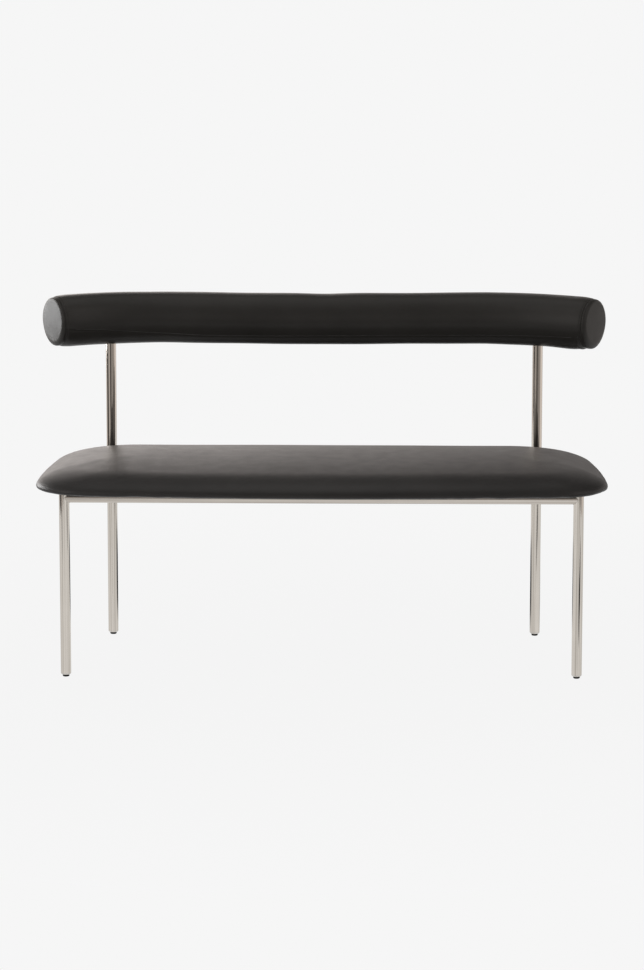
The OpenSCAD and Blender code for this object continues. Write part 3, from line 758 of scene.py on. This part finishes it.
def build_back():
    near_end = [0, 0.7, 1.4, 2.4, 3.3, 4.0, 4.6, 5.2, 6.0, 7.4, 9.4, 12, 15.5, 20, 26]
    right = list(np.linspace(0, HALF_L - 0.033, 84)) + [HALF_L - d * MM for d in reversed(near_end)]
    stations = np.array([-s for s in reversed(right[1:])] + right)
    # Angles round the sleeve, closer together at the seam
    gaps = np.concatenate([[0.0], np.cumsum(1 - 0.86 * bump(np.linspace(-180, 180, 109)[:-1], 13))])
    offsets = np.radians(gaps / gaps[-1] * 360 - 180)[:-1]
    offsets -= offsets[np.argmin(np.abs(offsets))]
    n, count = len(offsets), len(stations)
    verts = np.zeros((count, n, 3))
    for i, s in enumerate(stations):
        r = sleeve_radius(s)
        for k, o in enumerate(offsets):
            a = o - seam_angle(s)
            near = smooth(1 - (HALF_L - abs(s)) / (24 * MM))
            verts[i, k] = back_point(warp(s, a), a, r + near * ring_full(s, a))
    verts = verts.reshape(-1, 3)
    faces = [(i * n + k, (i + 1) * n + k, (i + 1) * n + (k + 1) % n, i * n + (k + 1) % n)
             for i in range(count - 1) for k in range(n)]
    normals = vertex_normals(verts, faces)
    centre = np.repeat(np.array([path_point(s)[0] for s in stations]), n, axis=0)
    if ((verts - centre) * normals).sum() < 0:
        normals = -normals
        faces = [tuple(reversed(f)) for f in faces]
    arc = np.tile(offsets * BACK_R, count)
    left = np.repeat(HALF_L - np.abs(stations), n)
    along = np.repeat(stations, n)
    held = np.where((left < 2 * MM) | (np.abs(arc) < 1.2 * MM), 1.0, 0.0)
    moved = inflate("back_sim", verts, faces, held)
    level = (moved * normals).sum(axis=1)
    verts = verts + moved - normals * (level * BACK_LEVELLED)[:, None]
    # The seam: a groove where the edges are turned in, the turned edge raised above it
    line = np.column_stack([along, along * 0, along * 0])
    seam = -0.75 * MM * bump(arc, 1.1 * MM) + 0.35 * MM * bump(arc - 4.2 * MM, 2.6 * MM)
    pull = 0.18 * MM * waves(line, 6, 0.012, 0.03, 21) * bump(arc, 9 * MM)
    round_it = np.column_stack([arc, arc * 0, arc * 0])
    gather = 0.22 * MM * waves(round_it, 6, 0.011, 0.022, 22) * bump(left, 14 * MM)
    full = 0.5 * MM * waves(verts, 6, 0.16, 0.4, 23) + 0.6 * MM
    # Where the photographed bolster is fuller than round: above at the left and below at the right. It is
    # flatter at the middle of its top.
    turn = np.degrees(np.tile(offsets, count) - np.repeat([seam_angle(s) for s in stations], n))
    turn = (turn + 180) % 360 - 180
    full += 1.6 * MM * bump(along + 0.57, 0.10) * bump(turn - 90, 50)
    full += 4.4 * MM * bump(along - 0.625, 0.055) * bump(turn + 90, 60)
    full += 0.8 * MM * bump(along - 0.48, 0.10) * bump(turn + 90, 60)
    full -= 1.6 * MM * bump(along, 0.05) * bump(turn - 90, 45)
    fade = smooth(left / (10 * MM))
    verts = verts + normals * (fade * (seam + pull + full) + gather * smooth(left / (3 * MM)))[:, None]
    # Inside: end walls of the foam and the bore round the core tube
    leather_faces = len(faces)
    bore = np.array([[back_point(s, o - seam_angle(s), CORE_BORE_R) for o in offsets] for s in stations])
    for i, s in enumerate(stations):
        bore[i, :, 2] += sag_at(s)
    base = len(verts)
    stop = 6.0 * MM
    first = int(np.argmax(stations > -HALF_L + stop))
    last = count - 1 - first
    inner = bore[first:last + 1].reshape(-1, 3)
    skin_in = []
    for i in list(range(0, first + 1)) + list(range(last, count)):
        s = stations[i]
        r = BACK_R - END_DRAW - LEATHER_T
        turns = [o - seam_angle(s) for o in offsets]
        skin_in.append([back_point(warp(s, a), a, r - 0.4 * MM) for a in turns])
    skin_in = np.array(skin_in).reshape(-1, 3)
    rows_a = [base + i * n for i in range(first + 1)]
    rows_b = [base + (first + 1 + i) * n for i in range(count - last)]
    base_bore = base + len(skin_in)
    rows = [0] + rows_a + [base_bore + i * n for i in range(last - first + 1)] + rows_b + [(count - 1) * n]
    slots = [0] * leather_faces
    for j in range(len(rows) - 1):
        faces += ring_faces(rows[j], rows[j + 1], n)
        slots += [0 if j <= len(rows_a) or j >= len(rows) - 2 - len(rows_b) else 1] * n
    verts = np.vstack([verts, skin_in, inner])
    ob = mesh_object("back_bolster", verts, faces, [LEATHER_BACK, FOAM], slots)
    face_out(ob)
    # Holes for the posts and their sockets
    for side in (-1, 1):
        for r, top in ((TUBE_R + 0.3 * MM, BACK_Z - BACK_R + 3 * MM), (SOCKET_R + 0.3 * MM, BACK_Z)):
            low = BACK_Z - BACK_R - 20 * MM if r < SOCKET_R else BACK_Z - BACK_R + 2.5 * MM
            bpy.ops.mesh.primitive_cylinder_add(vertices=48, radius=r, depth=top - low,
                                                location=(side * REAR_X, REAR_Y, (top + low) / 2))
            tool = bpy.context.object
            cut = ob.modifiers.new("Hole", "BOOLEAN")
            cut.operation, cut.object, cut.solver = "DIFFERENCE", tool, "EXACT"
            apply_modifiers(ob)
            bpy.data.objects.remove(tool)
    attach(ob, "bench")
    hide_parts("back_cover", "back_foam")
    return ob


def end_frame(side):
    """Matrix of an end of the bolster: +Z points out of the end."""
    p, t = path_point(side * HALF_L)
    out = Vector((math.cos(t) * side, -abs(math.sin(t)), 0)).normalized()
    up = Vector((0, 0, 1))
    third = up.cross(out)
    m = Matrix((third, up, out)).transposed().to_4x4()
    m.translation = Vector(p)
    return m


def panel_profile(side, a):
    """Radius and height of an end panel at angle a: tucked edge, band, rounded rim, domed face."""
    more = ring_full(side, a)
    r, top = BACK_R - END_DRAW + more, END_BULGE + 0.5 * MM
    z0 = -set_back(side, a)
    rim = (11.5 - 3.0 * math.sin(a)) * MM + 2.4 * more
    zb = z0 + 1.5 * MM + max(1.0 * MM, -(z0 + 1.5 * MM))
    out = [(r - 1.5 * MM, z0 + 0.05 * MM), (r - 0.9 * MM, z0 + 0.3 * MM), (r - 0.35 * MM, z0 + 0.8 * MM)]
    out += [(r + 0.25 * MM * math.sin(math.pi * t), z0 + 1.5 * MM + t * (zb - z0 - 1.5 * MM))
            for t in (0, 0.33, 0.67, 1)]
    for b in np.radians(np.linspace(9, 87, 10)):
        out.append((r - rim + rim * math.cos(b), zb + (top - zb) * math.sin(b)))
    flat = r - rim
    out += [(q, top + 0.9 * MM * (1 - (q / flat) ** 2)) for q in np.linspace(flat - 1.2 * MM, 1.2 * MM, 13)]
    return np.array(out)


def build_end_panel(side):
    """Round leather panel over the end board, sewn to the sleeve's warped ring."""
    n = 84
    angles = circle(n)
    dirs = np.column_stack([np.cos(angles), np.sin(angles), angles * 0])
    pull = waves(dirs * 0.06, 6, 0.012, 0.03, 31 + side)
    slow = waves(dirs * 0.06, 3, 0.06, 0.15, 41 + side)
    frame_m = end_frame(side)

    def place_at(q, a, z):
        if z < 0:
            return Vector(back_point(side * (HALF_L + z), a if side < 0 else math.pi - a, q))
        return frame_m @ Vector((q * math.cos(a), q * math.sin(a), z))

    outer, under = [], []
    for k, a in enumerate(angles):
        line = panel_profile(side, a)
        t = np.gradient(line, axis=0)
        t /= np.linalg.norm(t, axis=1)[:, None]
        nrm = np.column_stack([t[:, 1], -t[:, 0]])
        row = np.arange(len(line))
        gather = 0.15 * MM * pull[k] * bump(row - 5, 3.5) + 0.2 * MM * slow[k] * bump(row - 14, 6)
        line = line + nrm * gather[:, None]
        outer.append(line)
        under.append(line - nrm * LEATHER_T)
    rows = len(outer[0])
    verts = [place_at(outer[k][i][0], angles[k], outer[k][i][1]) for i in range(rows) for k in range(n)]
    verts += [place_at(max(under[k][i][0], 0.8 * MM), angles[k], under[k][i][1])
              for i in range(rows) for k in range(n)]
    faces, base = [], rows * n
    for i in range(rows - 1):
        for k in range(n):
            m = (k + 1) % n
            faces.append((i * n + k, i * n + m, (i + 1) * n + m, (i + 1) * n + k))
            faces.append((base + i * n + k, base + (i + 1) * n + k, base + (i + 1) * n + m, base + i * n + m))
    for k in range(n):
        m = (k + 1) % n
        faces.append((k, base + k, base + m, m))
    faces.append(tuple((rows - 1) * n + k for k in range(n)))
    faces.append(tuple(base + (rows - 1) * n + k for k in reversed(range(n))))
    name = "back_end_panel_left" if side < 0 else "back_end_panel_right"
    ob = mesh_object(name, verts, faces, [LEATHER_BACK])
    face_out(ob)
    subdivide(ob)
    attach(ob, "bench")
    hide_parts("back_end_cover_left" if side < 0 else "back_end_cover_right")
    return ob


# Stitches: short round-ended threads that dip into the leather at both ends
def stitch(verts, faces, a, b, up, r):
    a, b, up = Vector(a), Vector(b), Vector(up).normalized()
    axis = (b - a).normalized()
    side = axis.cross(up).normalized()
    up = side.cross(axis)
    base, rows, n = len(verts), [], 6
    for t, k in ((0.0, 0.35), (0.12, 0.85), (0.35, 1.0), (0.65, 1.0), (0.88, 0.85), (1.0, 0.35)):
        lift = r * (0.9 - 3.2 * (t - 0.5) ** 2)
        c = a.lerp(b, t) + up * lift
        rows.append([c + (side * math.cos(q) + up * math.sin(q)) * r * k
                     for q in circle(n)])
    for row in rows:
        verts += row
    for i in range(len(rows) - 1):
        faces += ring_faces(base + i * n, base + (i + 1) * n, n)
    faces.append(tuple(base + k for k in reversed(range(n))))
    faces.append(tuple(base + (len(rows) - 1) * n + k for k in range(n)))


def build_stitches(sleeve):
    tree = BVHTree.FromPolygons([v.co for v in sleeve.data.vertices],
                                [tuple(f.vertices) for f in sleeve.data.polygons])

    def skin(s, a):
        """Point of the sleeve's outside at distance s and angle a, and the way out from the axis there."""
        start, end = Vector(back_point(s, a, BACK_R - 14 * MM)), Vector(back_point(s, a, BACK_R))
        way = (end - start).normalized()
        hit = tree.ray_cast(start, way, 30 * MM)[0]
        return (hit or end), way

    verts, faces = [], []
    pitch, length, r = 4.6 * MM, 3.5 * MM, 0.38 * MM
    # The long row lies just below the seam, the other two round the ends
    low = 3.4 * MM / BACK_R
    s = -HALF_L + 30 * MM
    while s < HALF_L - 30 * MM:
        (p0, _), (p1, way) = (skin(q, low - seam_angle(q)) for q in (s, s + length))
        stitch(verts, faces, p0, p1, way, r)
        s += pitch
    for side in (-1, 1):
        at = side * (HALF_L - RING_STITCH)
        n = int(2 * math.pi * BACK_R / pitch)
        for k in range(n):
            a0 = 2 * math.pi * k / n
            a1 = a0 + length / BACK_R
            (p0, _), (p1, way) = (skin(warp(at, a), a) for a in (a0, a1))
            stitch(verts, faces, p0, p1, way, r)
    ob = mesh_object("back_stitches", verts, faces, [THREAD])
    face_out(ob)
    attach(ob, "bench")
    return ob


# Weld beads where the rails meet the legs and each other
BEAD_R = 0.75 * MM


def rail_end(p, direction, other, other_axis):
    """Closed line where a tube from p along direction first meets another tube of the same size."""
    p, d, o, w = (np.array(v, float) for v in (p, direction, other, other_axis))
    d /= np.linalg.norm(d)
    w /= np.linalg.norm(w)
    u = np.cross(d, [0, 0, 1.0])
    u /= np.linalg.norm(u)
    v = np.cross(d, u)
    line = []
    for a in circle(48):
        q = p + TUBE_R * 0.995 * (u * math.cos(a) + v * math.sin(a))
        rel = q - o
        rel, dd = rel - w * (rel @ w), d - w * (d @ w)
        aa, bb, cc = dd @ dd, 2 * rel @ dd, rel @ rel - (TUBE_R * 1.004) ** 2
        disc = max(bb * bb - 4 * aa * cc, 0.0)
        t = (-bb - math.sqrt(disc)) / (2 * aa)
        line.append(q + d * t)
    return np.array(line)


def bead(verts, faces, line, seed):
    n, m = len(line), 8
    rng = np.random.default_rng(seed)
    ripple = 1 + 0.10 * np.sin(np.arange(n) * 2.1) + 0.05 * rng.normal(size=n)
    base = len(verts)
    middle = line.mean(axis=0)
    for i in range(n):
        t = line[(i + 1) % n] - line[i - 1]
        t /= np.linalg.norm(t)
        out = line[i] - middle
        out -= t * (out @ t)
        out /= np.linalg.norm(out)
        other = np.cross(t, out)
        for k in range(m):
            a = 2 * math.pi * k / m
            verts.append(line[i] + (out * math.cos(a) + other * math.sin(a)) * BEAD_R * ripple[i])
    for i in range(n):
        for k in range(m):
            faces.append((base + i * m + k, base + ((i + 1) % n) * m + k,
                          base + ((i + 1) % n) * m + (k + 1) % m, base + i * m + (k + 1) % m))


def build_welds():
    lo, hi = box_of("front_rail")
    rail_z = (lo[2] + hi[2]) / 2
    rlo, rhi = box_of("rear_rail")
    rear_y = (rlo[1] + rhi[1]) / 2
    up, x, y = [0, 0, 1], [1, 0, 0], [0, 1, 0]
    verts, faces, seed = [], [], 50
    share = (REAR_Y - rear_y) / (REAR_Y - FRONT_Y)
    rear_half = REAR_X + (FRONT_X - REAR_X) * share
    jobs = []
    for side in (-1, 1):
        leg, post = [side * FRONT_X, FRONT_Y, rail_z], [side * REAR_X, REAR_Y, rail_z]
        along = [post[0] - leg[0], post[1] - leg[1], 0]
        back = [-v for v in along]
        mid = [(leg[0] + post[0]) / 2, (leg[1] + post[1]) / 2, rail_z]
        jobs.append(([0, FRONT_Y, rail_z], [side, 0, 0], leg, up))
        jobs.append((mid, back, leg, up))
        jobs.append((mid, along, post, up))
        jobs.append(([0, rear_y, rail_z], [side, 0, 0], [side * rear_half, rear_y, rail_z], along))
    jobs.append(([0, 0, rail_z], [0, -1, 0], [0, FRONT_Y, rail_z], x))
    jobs.append(([0, 0, rail_z], [0, 1, 0], [0, rear_y, rail_z], x))
    for p, d, o, w in jobs:
        seed += 1
        bead(verts, faces, rail_end(p, d, o, w), seed)
    ob = mesh_object("weld_beads", verts, faces, [STEEL_TURNED])
    face_out(ob)
    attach(ob, "bench")
    return ob


def build_cloth():
    """Dust cloth under the board, stapled round its edge and hanging a little between the rails."""
    nx, ny = 150, 54
    edge = plan_in(seat_loop(2 * (nx + ny)), COVER_WRAP + 0.2 * MM)
    inner, quads = patch(edge, nx, ny)
    xy = np.vstack([edge, inner])
    lo, hi = box_of("front_rail")
    rlo, rhi = box_of("rear_rail")
    rail_y = [(lo[1] + hi[1]) / 2, (rlo[1] + rhi[1]) / 2]
    slope = (REAR_X - FRONT_X) / (REAR_Y - FRONT_Y)
    side_x = FRONT_X + slope * (xy[:, 1] - FRONT_Y)
    away = np.minimum.reduce([np.abs(xy[:, 1] - rail_y[0]), np.abs(xy[:, 1] - rail_y[1]),
                              np.abs(xy[:, 0]), np.abs(np.abs(xy[:, 0]) - side_x)])
    away = np.minimum(away, depth_in(xy) - COVER_WRAP)
    wave = waves(np.column_stack([xy, xy[:, 0] * 0]) * [1, 2.2, 1], 7, 0.05, 0.2, 61)
    sag = 2.6 * MM * smooth((away - 0.05) / 0.09) * (0.7 + 0.3 * wave)
    z = BOARD_LO[2] - 0.55 * MM - sag
    verts = np.column_stack([xy, z])
    ob = mesh_object("underside_cloth", verts, quads, [CLOTH])
    face_out(ob)
    thick = ob.modifiers.new("Thickness", "SOLIDIFY")
    thick.thickness, thick.offset = 0.6 * MM, 0
    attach(ob, "bench")
    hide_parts("seat_underside_cloth")
    return ob


build_seat()
bolster = build_back()
for side in (-1, 1):
    build_end_panel(side)
build_stitches(bolster)
build_welds()
build_cloth()


# Floor: pale, seen as the photo's plain background, with a faint shadow under the bench. It lies just
# below the levelling feet's lowest reach, so that they show at every pose.
BACKDROP = (0.9216, 0.9216, 0.9216)
FEET_TRAVEL = 8 * MM
FLOOR_Z = -FEET_TRAVEL - 0.3 * MM
FLOOR_R = 2.7
FLOOR_TONE = 0.45
SHADOW_LEFT = 0.975
# Painted shade on the floor that only gloss sees, as dark patches in reflections: x, y, turn, half length,
# half width and level
PAINTED_SHADE_PATCHES = ((0.12, 0.80, 0, 0.70, 0.50, 0.05), (1.45, -1.10, -0.72, 0.52, 0.24, 0.04),
               (-2.02, -1.40, 0.70, 0.42, 0.17, 0.05), (1.06, -0.93, -1.14, 0.42, 0.13, 0.15))


def build_floor():
    n = 96
    verts = [(0, 0, FLOOR_Z)]
    verts += [(FLOOR_R * math.cos(a), FLOOR_R * math.sin(a), FLOOR_Z) for a in circle(n)]
    faces = [(0, 1 + k, 1 + (k + 1) % n) for k in range(n)]
    m = bpy.data.materials.new("floor_pale")
    m.use_nodes = True
    nt = m.node_tree
    nt.nodes.clear()
    out = node(nt, "OutputMaterial")
    matt = node(nt, "BsdfDiffuse")
    matt.inputs["Color"].default_value = (FLOOR_TONE, FLOOR_TONE, FLOOR_TONE, 1)
    glow = node(nt, "Emission")
    glow.inputs["Color"].default_value = (*BACKDROP, 1)
    path = node(nt, "LightPath")
    place = coords(nt)
    far = node(nt, "VectorMath", operation="LENGTH")
    nt.links.new(place, far.inputs[0])
    to_camera = times(nt, path.outputs["Is Camera Ray"],
                      span(nt, far.outputs["Value"], SHADOW_LEFT, 1.0, 0.7, 2.0))
    # What the gloss sees of the floor: pale, with the patches of painted shade
    level = None
    for x, y, turn, long, wide, dark in PAINTED_SHADE_PATCHES:
        mp = node(nt, "Mapping", vector_type="TEXTURE")
        mp.inputs["Location"].default_value = (x, y, 0)
        mp.inputs["Rotation"].default_value = (0, 0, turn)
        mp.inputs["Scale"].default_value = (long, wide, 1)
        nt.links.new(place, mp.inputs[0])
        off = node(nt, "VectorMath", operation="LENGTH")
        nt.links.new(mp.outputs[0], off.inputs[0])
        painted_patch_level = span(nt, off.outputs["Value"], dark, 1.0, 0.75, 1.2)
        level = painted_patch_level if level is None else times(nt, level, painted_patch_level)
    gloss = math_node(nt, "MAXIMUM", path.outputs["Is Glossy Ray"], path.outputs["Is Transmission Ray"])
    painted_dimming = times(nt, gloss, math_node(nt, "SUBTRACT", 1.0, level))
    nt.links.new(math_node(nt, "SUBTRACT", 1.0, painted_dimming), glow.inputs["Strength"])
    lit = math_node(nt, "MAXIMUM", to_camera, gloss)
    nt.links.new(mix_shaders(nt, lit, matt.outputs[0], glow.outputs[0]), out.inputs[0])
    ob = mesh_object("floor", verts, faces, [m])
    return ob


build_floor()


# World: the same pale background to the camera. To the gloss it is a room with lights: a wide one behind
# the bench, several times brighter than white, and dimmer ones in front and at the sides.
BACK_LIGHT = 3.1


def background(nt, colour):
    n = node(nt, "Background")
    n.inputs["Color"].default_value = (*colour, 1)
    return n


def build_world():
    w = bpy.data.worlds.new("studio")
    scene.world = w
    w.use_nodes = True
    nt = w.node_tree
    nt.nodes.clear()
    out = node(nt, "OutputWorld")
    tc = node(nt, "TexCoord")
    split = node(nt, "SeparateXYZ")
    nt.links.new(tc.outputs["Generated"], split.inputs[0])
    height = split.outputs["Z"]
    path = node(nt, "LightPath")
    # Round the horizon: 0 and 1 are behind the bench, 0.25 its left, 0.5 its front, 0.75 its right
    way = math_node(nt, "ARCTAN2", split.outputs["X"], times(nt, -1.0, split.outputs["Y"]))
    turn = math_node(nt, "ADD", 0.5, math_node(nt, "DIVIDE", way, 2 * math.pi))
    studio = [(0.0, 0.06), (0.045, 0.08), (0.085, 0.94), (0.17, 0.94), (0.205, 0.30), (0.25, 0.08),
              (0.325, 0.12), (0.35, 0.62), (0.40, 0.60), (0.435, 0.35), (0.455, 0.06), (0.49, 0.08),
              (0.515, 0.30), (0.60, 0.40), (0.67, 0.48), (0.71, 0.90), (0.915, 0.94), (0.955, 0.08),
              (1.0, 0.06)]
    low = grey(nt, turn, studio)
    # Above the horizon a wide light behind the bench, stronger towards its left, and dim room light elsewhere
    back_light = [(0.0, 0.20), (0.0025, 0.23), (0.0055, 0.35), (0.010, 0.73), (0.0142, 0.88), (0.021, 0.80),
                  (0.04, 0.62), (0.14, 0.84), (0.22, 0.26), (0.27, 0.0), (0.73, 0.0), (0.80, 0.06),
                  (0.90, 0.12), (0.975, 0.18), (1.0, 0.20)]
    behind = times(nt, grey(nt, turn, back_light), BACK_LIGHT)
    fade = span(nt, height, 1.0, 0.06, 0.39, 0.57)
    front_light = [(0.31, 0.0), (0.37, 0.8), (0.47, 0.74), (0.50, 0.58), (0.53, 0.45), (0.62, 0.40),
                   (0.69, 0.0)]
    facing = grey(nt, turn, front_light)
    rise = times(nt, span(nt, height, 0.5, 0.95, 0.02, 0.12), span(nt, height, 1.0, 0.0, 0.28, 0.46))
    near = times(nt, math_node(nt, "MAXIMUM", low, facing), rise)
    # Light from both sides of the room in front, which the bolster's bends show
    side_light = [(0.24, 0.0), (0.30, 1.0), (0.38, 1.0), (0.43, 0.0), (0.57, 0.0), (0.62, 1.0), (0.70, 1.0),
                  (0.78, 0.0)]
    sides = times(nt, grey(nt, turn, side_light), span(nt, height, 1.2, 0.0, 0.75, 0.9))
    near = math_node(nt, "MAXIMUM", near, sides)
    high = math_node(nt, "ADD", 0.09, math_node(nt, "MAXIMUM", near, times(nt, behind, fade)))
    both = node(nt, "MixRGB")
    nt.links.new(span(nt, height, 0.0, 1.0, -0.06, 0.03), both.inputs["Fac"])
    nt.links.new(low, both.inputs["Color1"])
    nt.links.new(high, both.inputs["Color2"])
    room_light = background(nt, (1.0, 0.93, 0.89))
    nt.links.new(both.outputs[0], room_light.inputs["Strength"])
    plain = background(nt, BACKDROP)
    soft = background(nt, (0.62, 0.61, 0.60))
    room = mix_shaders(nt, path.outputs["Is Glossy Ray"], soft.outputs[0], room_light.outputs[0])
    direct = math_node(nt, "MAXIMUM", path.outputs["Is Camera Ray"], path.outputs["Is Transmission Ray"])
    nt.links.new(mix_shaders(nt, direct, room, plain.outputs[0]), out.inputs[0])


build_world()


def lamp(name, place, target, size, radiance, colour=(1, 1, 1)):
    data = bpy.data.lights.new(name, "AREA")
    data.shape = "RECTANGLE"
    data.size, data.size_y = size
    data.energy = radiance * math.pi * size[0] * size[1]
    data.color = colour
    ob = bpy.data.objects.new(name, data)
    ob.location = place
    ob.rotation_euler = (Vector(target) - Vector(place)).to_track_quat("-Z", "Y").to_euler()
    scene.collection.objects.link(ob)
    return ob


lamp("softbox_top", (-0.3, 0.2, 3.2), (0, 0, 0.5), (2.6, 1.6), 0.8, (1, 0.985, 0.96))
lamp("softbox_left", (-2.6, 1.25, 0.95), (-0.3, 0.1, 0.75), (1.4, 1.2), 7.5, (0.98, 0.99, 1.0))
lamp("softbox_front_left", (-3.0, -3.0, 1.9), (0, 0, 0.7), (3.0, 3.4), 0.9, (1, 0.99, 0.97))

# Camera at the photo's place, from the fit of feet, rails and outlines
cam_data = bpy.data.cameras.new("camera")
cam = bpy.data.objects.new("camera", cam_data)
scene.collection.objects.link(cam)
scene.camera = cam
cam_data.sensor_width = 36
cam_data.lens = 153.45
cam_data.shift_x, cam_data.shift_y = -0.0004, -0.0011
cam_data.clip_start, cam_data.clip_end = 0.1, 100
yaw, pitch, roll = 0.0151, 0.190, 0.0008
right = Vector((math.cos(yaw), math.sin(yaw), 0))
ahead = Vector((-math.sin(yaw), math.cos(yaw), 0))
up = Vector((0, 0, 1))
view_dir = ahead * math.cos(pitch) - up * math.sin(pitch)
view_up = up * math.cos(pitch) + ahead * math.sin(pitch)
r3 = right * math.cos(roll) + view_up * math.sin(roll)
u3 = view_up * math.cos(roll) - right * math.sin(roll)
place = Matrix((r3, u3, -view_dir)).transposed().to_4x4()
place.translation = Vector((0.148, -9.8379, 2.3198))
cam.matrix_world = place

scene.view_settings.view_transform = "Standard"
